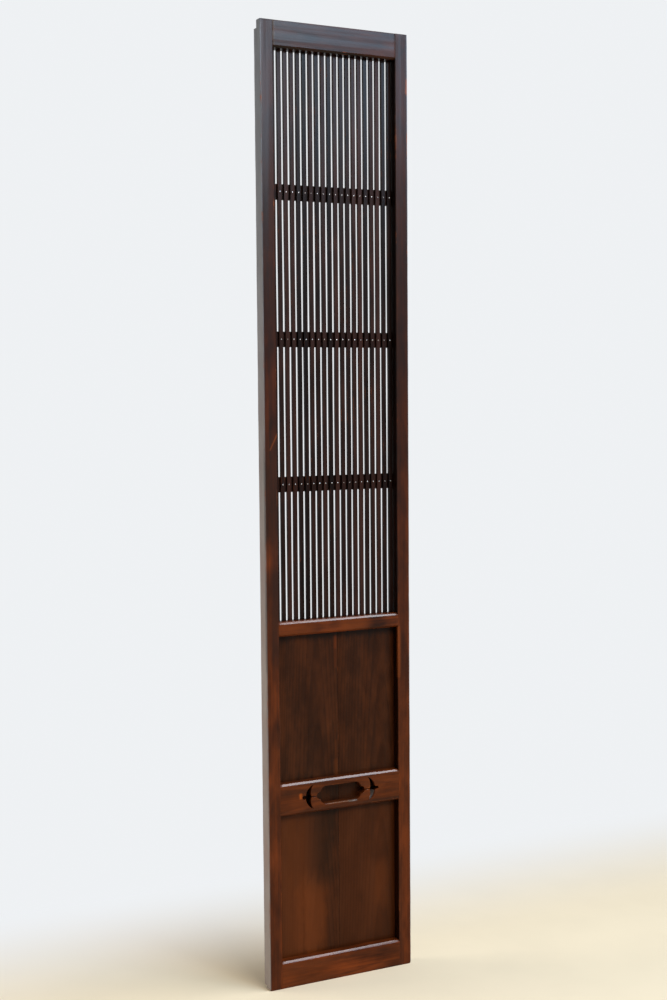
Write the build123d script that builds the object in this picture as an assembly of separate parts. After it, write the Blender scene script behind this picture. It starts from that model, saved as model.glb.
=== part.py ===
"""Sliding lattice door leaf, in millimetres, +Z up, front face towards -Y.

Two stiles and four rails make a chamfered frame. The upper opening holds a lattice of bars nailed to
three ties. The lower opening holds two lapped boards behind a rail with an openwork carving.
The origin is under the middle of the leaf, at the level of its foot.
"""

import os

from build123d import *

# Whole leaf
HEIGHT = 2000.0
WIDTH = 338.0
THICKNESS = 30.0

# Frame members and their edges
STILE_WIDTH = 29.0
TOP_RAIL_HEIGHT = 54.0
MID_RAIL_TOP = 777.0
MID_RAIL_HEIGHT = 30.0
CARVED_RAIL_HEIGHT = 68.0
BOTTOM_RAIL_HEIGHT = 57.0
STILE_CHAMFER = 1.5
RAIL_CHAMFER = 4.0
ARRIS_ROUND = 1.5
FOOT_CORNER_ROUND = 4.0

# Tongue for the lintel groove at the top, foot for the sill groove at the bottom
TONGUE_THICKNESS = 18.0
TONGUE_HEIGHT = 16.0
FOOT_HEIGHT = 7.0

# Blind mortises and tenons between rails and stiles
MORTISE_WALL = 8.0
TENON_THICKNESS = 10.0
TENON_SHOULDER = 6.0
TENON_END_GAP = 0.5

# Panel of two lapped boards
PANEL_BACK_RECESS = 5.0
PANEL_THICKNESS = 5.0
PANEL_GROOVE_DEPTH = 7.0
PANEL_PLAY = 0.5
PANEL_JOINT_X = 4.0
PANEL_LAP = 6.0
PANEL_LAP_GAP = 0.3

# Lattice bars and the ties behind them
BAR_COUNT = 20
BAR_WIDTH = 8.5
BAR_DEPTH = 6.5
BAR_ARRIS = 0.6
BAR_STILE_GAP = 1.5
BAR_HOUSING = 6.0
BAR_TOP_PLAY = 0.5
TIE_HEIGHT = 32.0
TIE_THICKNESS = 5.0
TIE_BACK_RECESS = 1.0
TIE_SPACING = 300.0
TIE_TENON_LENGTH = 10.0
TIE_TENON_SHOULDER = 4.0
TIE_TENON_CHEEK = 1.0

# Nails that hold each bar to each tie
NAIL_HEAD_DIAMETER = 3.0
NAIL_CROWN_DIAMETER = 1.8
NAIL_HEAD_HEIGHT = 0.8
NAIL_HEAD_SIDES = 8
NAIL_SHANK = 1.4
NAIL_BITE = 3.8

# Carving of the lower rail: a lobed window with a slit to a flying bird on each side
WINDOW_LENGTH = 96.0
WINDOW_HEIGHT = 39.0
WINDOW_CORNER = 13.0
LOBE_CENTRE = 48.5
LOBE_RADIUS = 8.5
SLIT_HEIGHT = 2.0
BIRD_CENTRE = 74.0
BIRD_HEAD_REACH = 12.5
BIRD_HEAD_RADIUS = 4.5
WING_FRONT = 9.0
WING_REAR = 5.0
WING_SWEEP = 9.0
WING_SPAN = 26.0
WING_BOW_FRONT = 5.5
WING_BOW_REAR = 3.5

# Splinter broken from the lower edge of the window
CHIP_X = 24.0
CHIP_LENGTH = 16.0
CHIP_WIDTH = 3.5
CHIP_DEPTH = 2.0
CHIP_TILT = -24.0

# Places worked out from the sizes above
OPENING_HALF = WIDTH / 2 - STILE_WIDTH
FACE_HALF = OPENING_HALF + STILE_CHAMFER
TOP_RAIL_BOTTOM = HEIGHT - TOP_RAIL_HEIGHT
MID_RAIL_BOTTOM = MID_RAIL_TOP - MID_RAIL_HEIGHT
PANEL_OPENING = (MID_RAIL_BOTTOM - CARVED_RAIL_HEIGHT - BOTTOM_RAIL_HEIGHT) / 2
CARVED_RAIL_BOTTOM = BOTTOM_RAIL_HEIGHT + PANEL_OPENING
CARVED_RAIL_TOP = CARVED_RAIL_BOTTOM + CARVED_RAIL_HEIGHT
CARVED_RAIL_MIDDLE = (CARVED_RAIL_BOTTOM + CARVED_RAIL_TOP) / 2
PANEL_BACK = THICKNESS - PANEL_BACK_RECESS
PANEL_FRONT = PANEL_BACK - PANEL_THICKNESS
PANEL_FLOOR = BOTTOM_RAIL_HEIGHT - PANEL_GROOVE_DEPTH
PANEL_CEILING = MID_RAIL_BOTTOM + PANEL_GROOVE_DEPTH
TIE_BACK = THICKNESS - TIE_BACK_RECESS
TIE_FRONT = TIE_BACK - TIE_THICKNESS
BAR_FRONT = TIE_FRONT - BAR_DEPTH
BAR_REACH = OPENING_HALF - BAR_STILE_GAP - BAR_WIDTH / 2
BAR_PITCH = 2 * BAR_REACH / (BAR_COUNT - 1)
BAR_CENTRES = [-BAR_REACH + BAR_PITCH * number for number in range(BAR_COUNT)]
BAR_BOTTOM = MID_RAIL_TOP - BAR_HOUSING
BAR_TOP = TOP_RAIL_BOTTOM + BAR_HOUSING - BAR_TOP_PLAY
LATTICE_MIDDLE = (MID_RAIL_TOP + TOP_RAIL_BOTTOM) / 2
TIE_CENTRES = {
    "upper_tie": LATTICE_MIDDLE + TIE_SPACING,
    "middle_tie": LATTICE_MIDDLE,
    "lower_tie": LATTICE_MIDDLE - TIE_SPACING,
}
TENON_LENGTH = STILE_WIDTH - MORTISE_WALL
TENON_FRONT = (PANEL_FRONT - TENON_THICKNESS) / 2
TENON_BACK = TENON_FRONT + TENON_THICKNESS
TENON_HEIGHTS = {
    "top_rail": (TOP_RAIL_BOTTOM + TENON_SHOULDER, HEIGHT - TONGUE_HEIGHT - TENON_SHOULDER),
    "mid_rail": (MID_RAIL_BOTTOM + TENON_SHOULDER, MID_RAIL_TOP - TENON_SHOULDER),
    "carved_rail": (CARVED_RAIL_BOTTOM + TENON_SHOULDER, CARVED_RAIL_TOP - TENON_SHOULDER),
    "bottom_rail": (FOOT_HEIGHT + TENON_SHOULDER, BOTTOM_RAIL_HEIGHT - TENON_SHOULDER),
}


def at_depth(depth):
    """Y of a plane that lies the given depth behind the front face."""
    return depth - THICKNESS / 2


def block(x_low, x_high, depth_front, depth_back, z_low, z_high):
    """Rectangular block between limits, with its Y limits counted back from the front face."""
    middle = Pos((x_low + x_high) / 2, at_depth((depth_front + depth_back) / 2), (z_low + z_high) / 2)
    return middle * Box(x_high - x_low, depth_back - depth_front, z_high - z_low)


def both_sides(piece):
    """The piece and its mirror image on the other side of the leaf."""
    return [piece, mirror(piece, Plane.YZ)]


def tongue_and_foot_cuts():
    """Rebates along the back that leave the tongue at the top and the foot at the bottom."""
    top = block(-WIDTH, WIDTH, TONGUE_THICKNESS, 2 * THICKNESS, HEIGHT - TONGUE_HEIGHT, 2 * HEIGHT)
    bottom = block(-WIDTH, WIDTH, TONGUE_THICKNESS, 2 * THICKNESS, -FOOT_HEIGHT, FOOT_HEIGHT)
    return [top, bottom]


def stile_blank():
    """Right-hand stile with its inner chamfer, eased outer edges and a rounded foot corner."""
    blank = block(OPENING_HALF, WIDTH / 2, 0, THICKNESS, 0, HEIGHT)
    inner_front = blank.edges().filter_by(Axis.Z).group_by(Axis.X)[0].sort_by(Axis.Y)[0]
    blank = chamfer(inner_front, STILE_CHAMFER)
    outer_upright = blank.edges().filter_by(Axis.Z).group_by(Axis.X)[-1]
    blank = fillet(outer_upright, ARRIS_ROUND)
    foot_corner = blank.faces().sort_by(Axis.X)[-1].edges().sort_by(Axis.Z)[0]
    return fillet(foot_corner, FOOT_CORNER_ROUND)


def rail_mortise(z_low, z_high):
    """Blind mortise in the right-hand stile for one rail."""
    x_end = OPENING_HALF + TENON_LENGTH + TENON_END_GAP
    return block(OPENING_HALF, x_end, TENON_FRONT, TENON_BACK, z_low, z_high)


def tie_tenon(middle, end_gap):
    """Stub tenon of one tie in the right-hand stile, or its mortise if an end gap is given."""
    return block(
        OPENING_HALF,
        OPENING_HALF + TIE_TENON_LENGTH + end_gap,
        TIE_FRONT + TIE_TENON_CHEEK,
        TIE_BACK - TIE_TENON_CHEEK,
        middle - TIE_HEIGHT / 2 + TIE_TENON_SHOULDER,
        middle + TIE_HEIGHT / 2 - TIE_TENON_SHOULDER,
    )


def stile():
    """Right-hand stile, cut for the rails, the ties, the panel, the tongue and the foot."""
    groove_end = OPENING_HALF + PANEL_GROOVE_DEPTH
    groove = block(OPENING_HALF, groove_end, PANEL_FRONT, PANEL_BACK, PANEL_FLOOR, PANEL_CEILING)
    cuts = [groove] + tongue_and_foot_cuts()
    cuts += [rail_mortise(*heights) for heights in TENON_HEIGHTS.values()]
    cuts += [tie_tenon(middle, TENON_END_GAP) for middle in TIE_CENTRES.values()]
    return stile_blank() - cuts


def rail_blank(z_low, z_high, depth_back, tenon_heights):
    """Rail whose front shoulders are scribed over the stiles' chamfers, with a tenon at each end."""
    plan = make_face(
        Polyline(
            (-FACE_HALF, at_depth(0)),
            (FACE_HALF, at_depth(0)),
            (OPENING_HALF, at_depth(STILE_CHAMFER)),
            (OPENING_HALF, at_depth(depth_back)),
            (-OPENING_HALF, at_depth(depth_back)),
            (-OPENING_HALF, at_depth(STILE_CHAMFER)),
            close=True,
        )
    )
    body = Pos(0, 0, z_low) * extrude(plan, z_high - z_low)
    x_end = OPENING_HALF + TENON_LENGTH
    tenon = block(OPENING_HALF, x_end, TENON_FRONT, TENON_BACK, *tenon_heights)
    return body + both_sides(tenon)


def edge_chamfer(z_edge, inward):
    """Wedge that chamfers a rail's front edge, where inward is +1 on a lower edge, -1 on an upper."""
    section = make_face(
        Polyline(
            (at_depth(0), z_edge),
            (at_depth(RAIL_CHAMFER), z_edge),
            (at_depth(0), z_edge + inward * RAIL_CHAMFER),
            close=True,
        )
    )
    return extrude(Plane.YZ * section, WIDTH, both=True)


def bar_sockets(z_low, z_high):
    """Sockets in a rail for the ends of all the lattice bars."""
    half = BAR_WIDTH / 2
    return [block(x - half, x + half, BAR_FRONT, TIE_FRONT, z_low, z_high) for x in BAR_CENTRES]


def panel_groove(z_low, z_high):
    """Groove across a rail for the edge of the panel."""
    return block(-OPENING_HALF, OPENING_HALF, PANEL_FRONT, PANEL_BACK, z_low, z_high)


def top_rail():
    """Rail with the tongue of the leaf above and sockets for the bars below."""
    blank = rail_blank(TOP_RAIL_BOTTOM, HEIGHT, THICKNESS, TENON_HEIGHTS["top_rail"])
    cuts = tongue_and_foot_cuts() + bar_sockets(TOP_RAIL_BOTTOM, TOP_RAIL_BOTTOM + BAR_HOUSING)
    return blank - [edge_chamfer(TOP_RAIL_BOTTOM, 1)] - cuts


def mid_rail():
    """Rail between the lattice and the panel, with sockets above and a groove below."""
    blank = rail_blank(MID_RAIL_BOTTOM, MID_RAIL_TOP, THICKNESS, TENON_HEIGHTS["mid_rail"])
    chamfers = [edge_chamfer(MID_RAIL_BOTTOM, 1), edge_chamfer(MID_RAIL_TOP, -1)]
    groove = panel_groove(MID_RAIL_BOTTOM, PANEL_CEILING)
    return blank - chamfers - [groove] - bar_sockets(BAR_BOTTOM, MID_RAIL_TOP)


def bottom_rail():
    """Rail with the foot of the leaf below and a groove for the panel above."""
    blank = rail_blank(0, BOTTOM_RAIL_HEIGHT, THICKNESS, TENON_HEIGHTS["bottom_rail"])
    groove = panel_groove(PANEL_FLOOR, BOTTOM_RAIL_HEIGHT)
    return blank - [edge_chamfer(BOTTOM_RAIL_HEIGHT, -1), groove] - tongue_and_foot_cuts()


def window_outline():
    """Long window with rounded corners and a round lobe at each end."""
    lobe = Circle(LOBE_RADIUS)
    body = RectangleRounded(WINDOW_LENGTH, WINDOW_HEIGHT, WINDOW_CORNER)
    return body + Pos(LOBE_CENTRE, 0) * lobe + Pos(-LOBE_CENTRE, 0) * lobe


def wing_outline():
    """Upper wing of the right-hand bird, a crescent between two arcs that meet at the swept tip."""
    tip = (-WING_SWEEP, WING_SPAN)
    front_middle = ((WING_FRONT - WING_SWEEP) / 2 + WING_BOW_FRONT, WING_SPAN / 2)
    rear_middle = ((-WING_REAR - WING_SWEEP) / 2 + WING_BOW_REAR, WING_SPAN / 2)
    front = ThreePointArc((WING_FRONT, 0), front_middle, tip)
    rear = ThreePointArc(tip, rear_middle, (-WING_REAR, 0))
    root = Line((-WING_REAR, 0), (WING_FRONT, 0))
    return make_face([front, rear, root])


def bird_outline():
    """Right-hand bird flying outwards: two swept wings, a round head and a tail slit to the window."""
    wing = wing_outline()
    head = Pos(BIRD_HEAD_REACH, 0) * Circle(BIRD_HEAD_RADIUS)
    bird = Pos(BIRD_CENTRE, 0) * (wing + mirror(wing, Plane.XZ) + head)
    slit_length = BIRD_CENTRE - LOBE_CENTRE
    slit = Pos(LOBE_CENTRE + slit_length / 2, 0) * Rectangle(slit_length, SLIT_HEIGHT)
    return bird + slit


def openwork():
    """Cutter for the whole carving, as deep as the leaf."""
    bird = bird_outline()
    outline = window_outline() + bird + mirror(bird, Plane.YZ)
    face = Plane((0, 0, CARVED_RAIL_MIDDLE), x_dir=(1, 0, 0), z_dir=(0, -1, 0)) * outline
    return extrude(face, THICKNESS, both=True)


def chip():
    """Splinter lost from the front of the window's lower edge."""
    edge = Pos(CHIP_X, at_depth(0), CARVED_RAIL_MIDDLE - WINDOW_HEIGHT / 2)
    return edge * Rot(0, CHIP_TILT, 0) * Box(CHIP_LENGTH, 2 * CHIP_DEPTH, CHIP_WIDTH)


def carved_rail():
    """Openwork rail in front of the panel, which shows through the carving."""
    heights = TENON_HEIGHTS["carved_rail"]
    blank = rail_blank(CARVED_RAIL_BOTTOM, CARVED_RAIL_TOP, PANEL_FRONT, heights)
    chamfers = [edge_chamfer(CARVED_RAIL_BOTTOM, 1), edge_chamfer(CARVED_RAIL_TOP, -1)]
    return blank - chamfers - [openwork(), chip()]


def panel_boards():
    """Left and right board, half lapped at the joint and standing on the floor of the groove."""
    x_edge = OPENING_HALF + PANEL_GROOVE_DEPTH - PANEL_PLAY
    z_top = PANEL_CEILING - PANEL_PLAY
    lap_depth = (PANEL_FRONT + PANEL_BACK) / 2
    x_lap = PANEL_JOINT_X + PANEL_LAP
    left = block(-x_edge, PANEL_JOINT_X, PANEL_FRONT, lap_depth, PANEL_FLOOR, z_top)
    left += block(-x_edge, x_lap, lap_depth, PANEL_BACK, PANEL_FLOOR, z_top)
    x_front = PANEL_JOINT_X + PANEL_LAP_GAP
    right = block(x_front, x_edge, PANEL_FRONT, lap_depth, PANEL_FLOOR, z_top)
    right += block(x_lap + PANEL_LAP_GAP, x_edge, lap_depth, PANEL_BACK, PANEL_FLOOR, z_top)
    return {"left_panel_board": left, "right_panel_board": right}


def nail_shank(x, z):
    """Square shank of one nail, through its bar and into the tie."""
    half = NAIL_SHANK / 2
    return block(x - half, x + half, BAR_FRONT, TIE_FRONT + NAIL_BITE, z - half, z + half)


def nail(x, z):
    """Square-shanked nail with a low hammered head on the front of its bar."""
    seat = Plane((x, at_depth(BAR_FRONT), z), x_dir=(1, 0, 0), z_dir=(0, -1, 0))
    rim = seat * RegularPolygon(NAIL_HEAD_DIAMETER / 2, NAIL_HEAD_SIDES)
    crown = seat.offset(NAIL_HEAD_HEIGHT) * RegularPolygon(NAIL_CROWN_DIAMETER / 2, NAIL_HEAD_SIDES)
    return loft([rim, crown]) + nail_shank(x, z)


def lattice_bar(x):
    """Upright bar with eased front edges, housed in the rails and pierced by its nails."""
    half = BAR_WIDTH / 2
    bar = block(x - half, x + half, BAR_FRONT, TIE_FRONT, BAR_BOTTOM, BAR_TOP)
    front_edges = bar.edges().filter_by(Axis.Z).group_by(Axis.Y)[0]
    return chamfer(front_edges, BAR_ARRIS) - [nail_shank(x, z) for z in TIE_CENTRES.values()]


def tie(middle):
    """Flat tie behind the bars, with a stub tenon in each stile."""
    half = TIE_HEIGHT / 2
    body = block(-OPENING_HALF, OPENING_HALF, TIE_FRONT, TIE_BACK, middle - half, middle + half)
    body = body + both_sides(tie_tenon(middle, 0))
    return body - [nail_shank(x, middle) for x in BAR_CENTRES]


def all_pieces():
    """Every piece of the leaf by its node's name."""
    right_stile = stile()
    pieces = {
        "left_stile": mirror(right_stile, Plane.YZ),
        "right_stile": right_stile,
        "top_rail": top_rail(),
        "mid_rail": mid_rail(),
        "carved_rail": carved_rail(),
        "bottom_rail": bottom_rail(),
    }
    pieces.update(panel_boards())
    for name, middle in TIE_CENTRES.items():
        pieces[name] = tie(middle)
        pieces[f"{name}_nails"] = Compound([nail(x, middle).solid() for x in BAR_CENTRES])
    for number, x in enumerate(BAR_CENTRES, start=1):
        pieces[f"lattice_bar_{number:02d}"] = lattice_bar(x)
    return pieces


os.makedirs("parts", exist_ok=True)
for node, piece in all_pieces().items():
    export_step(piece, f"parts/{node}.step")
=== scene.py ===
"""Worn looks for a sliding lattice door leaf, laid out as an add-on and run as a script.

Each wooden piece is a section carried along its length. The corners of the section come from the packed
leaf, and its arrises are rubbed away by an amount that wanders along the piece.
"""

import bpy
import numpy as np
from mathutils import Matrix, Vector
from mathutils.geometry import delaunay_2d_cdt


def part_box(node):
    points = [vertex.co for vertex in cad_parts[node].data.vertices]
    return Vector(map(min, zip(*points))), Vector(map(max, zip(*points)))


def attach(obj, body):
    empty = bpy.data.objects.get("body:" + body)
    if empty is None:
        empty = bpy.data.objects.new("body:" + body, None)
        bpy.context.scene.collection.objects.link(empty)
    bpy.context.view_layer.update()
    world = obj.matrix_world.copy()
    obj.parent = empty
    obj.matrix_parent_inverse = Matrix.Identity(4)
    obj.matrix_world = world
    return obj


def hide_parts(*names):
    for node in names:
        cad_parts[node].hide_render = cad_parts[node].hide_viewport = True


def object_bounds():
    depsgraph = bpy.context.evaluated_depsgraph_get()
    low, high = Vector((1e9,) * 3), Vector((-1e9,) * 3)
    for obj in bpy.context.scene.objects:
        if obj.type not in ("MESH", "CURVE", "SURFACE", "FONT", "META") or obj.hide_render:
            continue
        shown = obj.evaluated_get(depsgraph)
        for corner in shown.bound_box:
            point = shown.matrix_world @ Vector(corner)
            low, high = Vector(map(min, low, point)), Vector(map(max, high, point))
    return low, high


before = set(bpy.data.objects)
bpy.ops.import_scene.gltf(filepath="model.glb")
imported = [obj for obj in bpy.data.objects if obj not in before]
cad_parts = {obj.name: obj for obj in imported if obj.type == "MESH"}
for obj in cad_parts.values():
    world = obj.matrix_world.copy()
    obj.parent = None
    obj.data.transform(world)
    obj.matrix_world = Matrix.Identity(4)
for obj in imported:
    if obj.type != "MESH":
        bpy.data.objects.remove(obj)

bl_info = {
    "name": "Lattice Door Leaf",
    "version": (1, 0, 0),
    "blender": (4, 5, 0),
    "location": "3D View > Sidebar > Lattice Door",
    "description": "Worn, stained wood and a plain stage for a sliding lattice door leaf",
    "category": "Object",
}

CAD_BOX = [list(corner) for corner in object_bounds()]
BODY = "root"
X, Y, Z = range(3)


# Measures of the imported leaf

WELD = 1e-6
ON_PLANE = 1e-5


def packed_points(node):
    """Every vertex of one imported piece, as rows of x, y and z."""
    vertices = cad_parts[node].data.vertices
    flat = np.empty(3 * len(vertices), np.float32)
    vertices.foreach_get("co", flat)
    return flat.reshape(-1, 3).astype(float)


def reach(node, axis, plane_axis=None, plane=None):
    """Lowest and highest value along an axis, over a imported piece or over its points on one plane."""
    points = packed_points(node)
    if plane_axis is not None:
        points = points[np.abs(points[:, plane_axis] - plane) < ON_PLANE]
    return points[:, axis].min(), points[:, axis].max()


STILES = {"left_stile": -1, "right_stile": 1}
PLAIN_RAILS = ("top_rail", "mid_rail", "bottom_rail")
BOARDS = ("left_panel_board", "right_panel_board")
TIES = ("upper_tie", "middle_tie", "lower_tie")
BARS = sorted(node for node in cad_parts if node.startswith("lattice_bar_"))

OUTER, FRONT, BACK, TOP = CAD_BOX[1][X], CAD_BOX[0][Y], CAD_BOX[1][Y], CAD_BOX[1][Z]
OPENING = reach("right_stile", X)[0]
STILE_CHAMFER = reach("right_stile", X, Y, FRONT)[0] - OPENING
TONGUE_BACK = reach("top_rail", Y, Z, TOP)[1]
TONGUE_LEDGE = reach("top_rail", Z, Y, BACK)[1]
FOOT_LEDGE = reach("bottom_rail", Z, Y, BACK)[0]
FOOT_CORNER = reach("right_stile", Z, X, OUTER)[0]


# Settings

class LatticeDoorShape(bpy.types.PropertyGroup):
    """Sizes of the wear and of the small shapes on the leaf."""

    arris: bpy.props.FloatProperty(
        name="Arris", description="How far a plain edge is rubbed away",
        default=0.0006, unit="LENGTH", precision=5)
    outer_arris: bpy.props.FloatProperty(
        name="Outer arris", description="How far the handled outer edges are rubbed away",
        default=0.0013, unit="LENGTH", precision=5)
    joint_round: bpy.props.FloatProperty(
        name="Joint rounding", description="Rounding at a rail's ends, which shows its joint as a line",
        default=0.0004, unit="LENGTH", precision=5)
    wear_fade: bpy.props.FloatProperty(
        name="Wear fade", description="Distance from an arris at which its wear has faded",
        default=0.0035, unit="LENGTH", precision=5)
    board_wave: bpy.props.FloatProperty(
        name="Board wave", description="How far the panel boards have moved out of flat",
        default=0.0003, unit="LENGTH", precision=5)
    bar_bow: bpy.props.FloatProperty(
        name="Bar bow", description="How far a lattice bar wanders sideways between its ties",
        default=0.0005, unit="LENGTH", precision=5)
    chip_middle: bpy.props.FloatProperty(
        name="Chip middle", description="Place of the splintered edge under the carved window",
        default=0.0285, unit="LENGTH", precision=5)
    chip_length: bpy.props.FloatProperty(
        name="Chip length", description="Length of the splintered edge under the carved window",
        default=0.022, unit="LENGTH", precision=5)
    chip_depth: bpy.props.FloatProperty(
        name="Chip depth", description="How far the splintered edge is broken away",
        default=0.0030, unit="LENGTH", precision=5)


class LatticeDoorFinish(bpy.types.PropertyGroup):
    """Colours and gloss of the stained wood and the nails."""

    stile_stain: bpy.props.FloatVectorProperty(
        name="Stile stain", description="Middle colour of the stiles and the top rail",
        default=(0.076, 0.0150, 0.0026), subtype="COLOR", min=0, max=1)
    rail_stain: bpy.props.FloatVectorProperty(
        name="Rail stain", description="Middle colour of the lower rails",
        default=(0.098, 0.0190, 0.0030), subtype="COLOR", min=0, max=1)
    carved_stain: bpy.props.FloatVectorProperty(
        name="Carved stain", description="Middle colour of the carved rail",
        default=(0.068, 0.0140, 0.0023), subtype="COLOR", min=0, max=1)
    board_stain: bpy.props.FloatVectorProperty(
        name="Board stain", description="Middle colour of the panel boards",
        default=(0.034, 0.0087, 0.0022), subtype="COLOR", min=0, max=1)
    bar_stain: bpy.props.FloatVectorProperty(
        name="Bar stain", description="Middle colour of the lattice bars and their ties",
        default=(0.0155, 0.0056, 0.0038), subtype="COLOR", min=0, max=1)
    worn_wood: bpy.props.FloatVectorProperty(
        name="Worn wood", description="Colour of the wood where the stain is rubbed off",
        default=(0.230, 0.0520, 0.0090), subtype="COLOR", min=0, max=1)
    # Painted sheen: this pale grey on the outer sides of the stiles stands in for a glancing reflection. In
    # the carved cuts it is a dusty grey.
    dust_and_painted_sheen: bpy.props.FloatVectorProperty(
        name="Dust", description="Colour of the greyed outer sides of the stiles",
        default=(0.285, 0.2480, 0.2280), subtype="COLOR", min=0, max=1)
    # Painted sheen: the bluer grey near the top of the stiles' outer sides stands in for the reflection of a
    # cool light.
    painted_high_sheen: bpy.props.FloatVectorProperty(
        name="High dust", description="Colour of the outer sides of the stiles near the top",
        default=(0.185, 0.2000, 0.2250), subtype="COLOR", min=0, max=1)
    nail_steel: bpy.props.FloatVectorProperty(
        name="Nail steel", description="Colour of the nail heads",
        default=(0.420, 0.4000, 0.3800), subtype="COLOR", min=0, max=1)
    ring_width: bpy.props.FloatProperty(
        name="Ring width", description="Width of one growth ring",
        default=0.0055, unit="LENGTH", precision=5)
    gloss: bpy.props.FloatProperty(
        name="Gloss", description="Strength of the stain's sheen",
        default=0.070, min=0, max=1, subtype="FACTOR")
    wax: bpy.props.FloatProperty(
        name="Wax", description="Strength of the clear wax that glints on the edges",
        default=0.155, min=0, max=1, subtype="FACTOR")
    polish: bpy.props.FloatProperty(
        name="Polish", description="Strength of the wax on the slopes that face up and forward",
        default=0.65, min=0, max=1, subtype="FACTOR")
    # Painted shade: the inner faces of the stiles are darkened.
    painted_recess_shade: bpy.props.FloatProperty(
        name="Recess",
        description="How much of the stain's brightness is left on the inner faces of the stiles",
        default=0.18, min=0, max=1, subtype="FACTOR")
    # Painted shade: the stain is darkened towards the top of the leaf.
    painted_upper_shade: bpy.props.FloatProperty(
        name="Upper shade", description="How much of the stain's brightness is left at the top of the leaf",
        default=0.24, min=0, max=1, subtype="FACTOR")


class LatticeDoorStage(bpy.types.PropertyGroup):
    """Floor, background, lamps and camera."""

    floor_colour: bpy.props.FloatVectorProperty(
        name="Floor", description="Colour of the plain floor",
        default=(0.85, 0.72, 0.51), subtype="COLOR", min=0, max=1)
    background: bpy.props.FloatVectorProperty(
        name="Background", description="Colour of the plain background",
        default=(0.86, 0.88, 0.90), subtype="COLOR", min=0, max=1)
    fill: bpy.props.FloatProperty(
        name="Fill", description="Strength of the even light from all round", default=0.26, min=0)
    window_power: bpy.props.FloatProperty(
        name="Window power", description="Power of the soft light at the right front",
        default=78.0, min=0, unit="POWER")
    key_power: bpy.props.FloatProperty(
        name="Key power", description="Power of the soft light in front",
        default=52.0, min=0, unit="POWER")
    strip_power: bpy.props.FloatProperty(
        name="Strip power", description="Power of the narrow light overhead that glints on the chamfers",
        default=58.0, min=0, unit="POWER")
    side_power: bpy.props.FloatProperty(
        name="Side power",
        description="Power of the soft light at the left that glances off the leaf's side",
        default=46.0, min=0, unit="POWER")
    lens: bpy.props.FloatProperty(
        name="Lens", description="Focal length of the camera", default=53.45, min=1, unit="CAMERA")
    camera_place: bpy.props.FloatVectorProperty(
        name="Camera place", description="Where the camera stands",
        default=(-1.3993, -2.7882, 1.2479), subtype="XYZ", unit="LENGTH", precision=4)
    camera_aim: bpy.props.FloatVectorProperty(
        name="Camera aim", description="Point that the camera looks at",
        default=(-0.0122, -0.0150, 1.0269), subtype="XYZ", unit="LENGTH", precision=4)
    camera_roll: bpy.props.FloatProperty(
        name="Camera roll", description="Tilt of the camera about its line of sight",
        default=np.radians(-0.46), subtype="ANGLE")


class LatticeDoorSettings(bpy.types.PropertyGroup):
    """All settings of the leaf."""

    shape: bpy.props.PointerProperty(
        name="Shape", description="Wear and small shapes", type=LatticeDoorShape)
    finish: bpy.props.PointerProperty(
        name="Finish", description="Colours and gloss", type=LatticeDoorFinish)
    stage: bpy.props.PointerProperty(
        name="Stage", description="Floor, lamps and camera", type=LatticeDoorStage)


def settings():
    """Settings kept on the scene."""
    return bpy.context.scene.lattice_door


# Surfaces

# How finely they are worked out
ARRIS_STEPS = 5
PER_CORNER = ARRIS_STEPS + 2
END_STEPS = 4
LEDGE_STEP = 1e-5
STILE_STEP, RAIL_STEP, BOARD_STEP, BAR_STEP, TIE_STEP = 0.012, 0.006, 0.015, 0.020, 0.010
FOOT_STATIONS = np.array([0.25, 0.45, 0.7, 1.0])

# How arrises wear: wavelengths and share of their swelling, dents, and the most of an edge that it takes
ARRIS_WAVES = (0.71, 0.29, 0.13, 0.057)
ARRIS_SWELL = 0.7
DENT_LENGTH = 0.012
DENT_LENGTHS = (0.5, 1.6)
DENT_DEPTHS = (0.2, 1)
RUBBED_AT_MOST = 0.3
FADED_AT_MOST = 0.45

# How the meshes are put together and what their vertices hold
TURNED_OVER = [0, 3, 2, 1]
SMOOTH_ANGLE = np.radians(38)
UP_AND_FORWARD = np.array([0, -1, 1])
ATTRIBUTES = ("rubbed", "lot", "deep", "slope")


def stations(start, end, step, rounding):
    """Places along a piece, and how far its section shrinks at each of them.

    The ends are quarter rounds: at an angle a the place is rounding (1 - cos a) and the shrinking is
    rounding (1 - sin a). Between them the places are evenly spaced and nothing shrinks.
    """
    turn = np.linspace(0, np.pi / 2, END_STEPS)
    rise, shrink = rounding * (1 - np.cos(turn)), rounding * (1 - np.sin(turn))
    count = max(2, int(round((end - start) / step)) + 1)
    middle = np.linspace(start + rounding, end - rounding, count)[1:-1]
    along = np.concatenate([start + rise, middle, end - rise[::-1]])
    return along, np.concatenate([shrink, np.zeros(len(middle)), shrink[::-1]])


def wander(along, count, wavelengths, chance):
    """Smooth unevenness: for each line, the mean of sines of the given wavelengths and chance phases."""
    phase = chance.uniform(0, 2 * np.pi, (count, len(wavelengths)))
    turn = 2 * np.pi * along[:, None, None] / np.array(wavelengths)
    return np.sin(turn + phase).mean(axis=2)


def bruises(along, count, per_line, chance):
    """Dents along each line: a sum of bell curves of chance places, lengths and depths up to one."""
    place = chance.uniform(along.min(), along.max(), (count, per_line))
    depth = chance.uniform(*DENT_DEPTHS, (count, per_line))
    length = DENT_LENGTH * chance.uniform(*DENT_LENGTHS, (count, per_line))
    return (depth * np.exp(-(((along[:, None, None] - place) / length) ** 2))).sum(axis=2)


def rubbed_arris(along, sizes, chance, dents=3, dent=0.0011):
    """How far each corner is rubbed away along a piece: its size, swelling and thinning, plus a few dents."""
    sizes = np.array(sizes)
    uneven = wander(along, len(sizes), ARRIS_WAVES, chance)
    bruised = bruises(along, len(sizes), dents, chance)
    return sizes * (1 + ARRIS_SWELL * uneven) + dent * bruised * np.sqrt(sizes / sizes.max())


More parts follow.
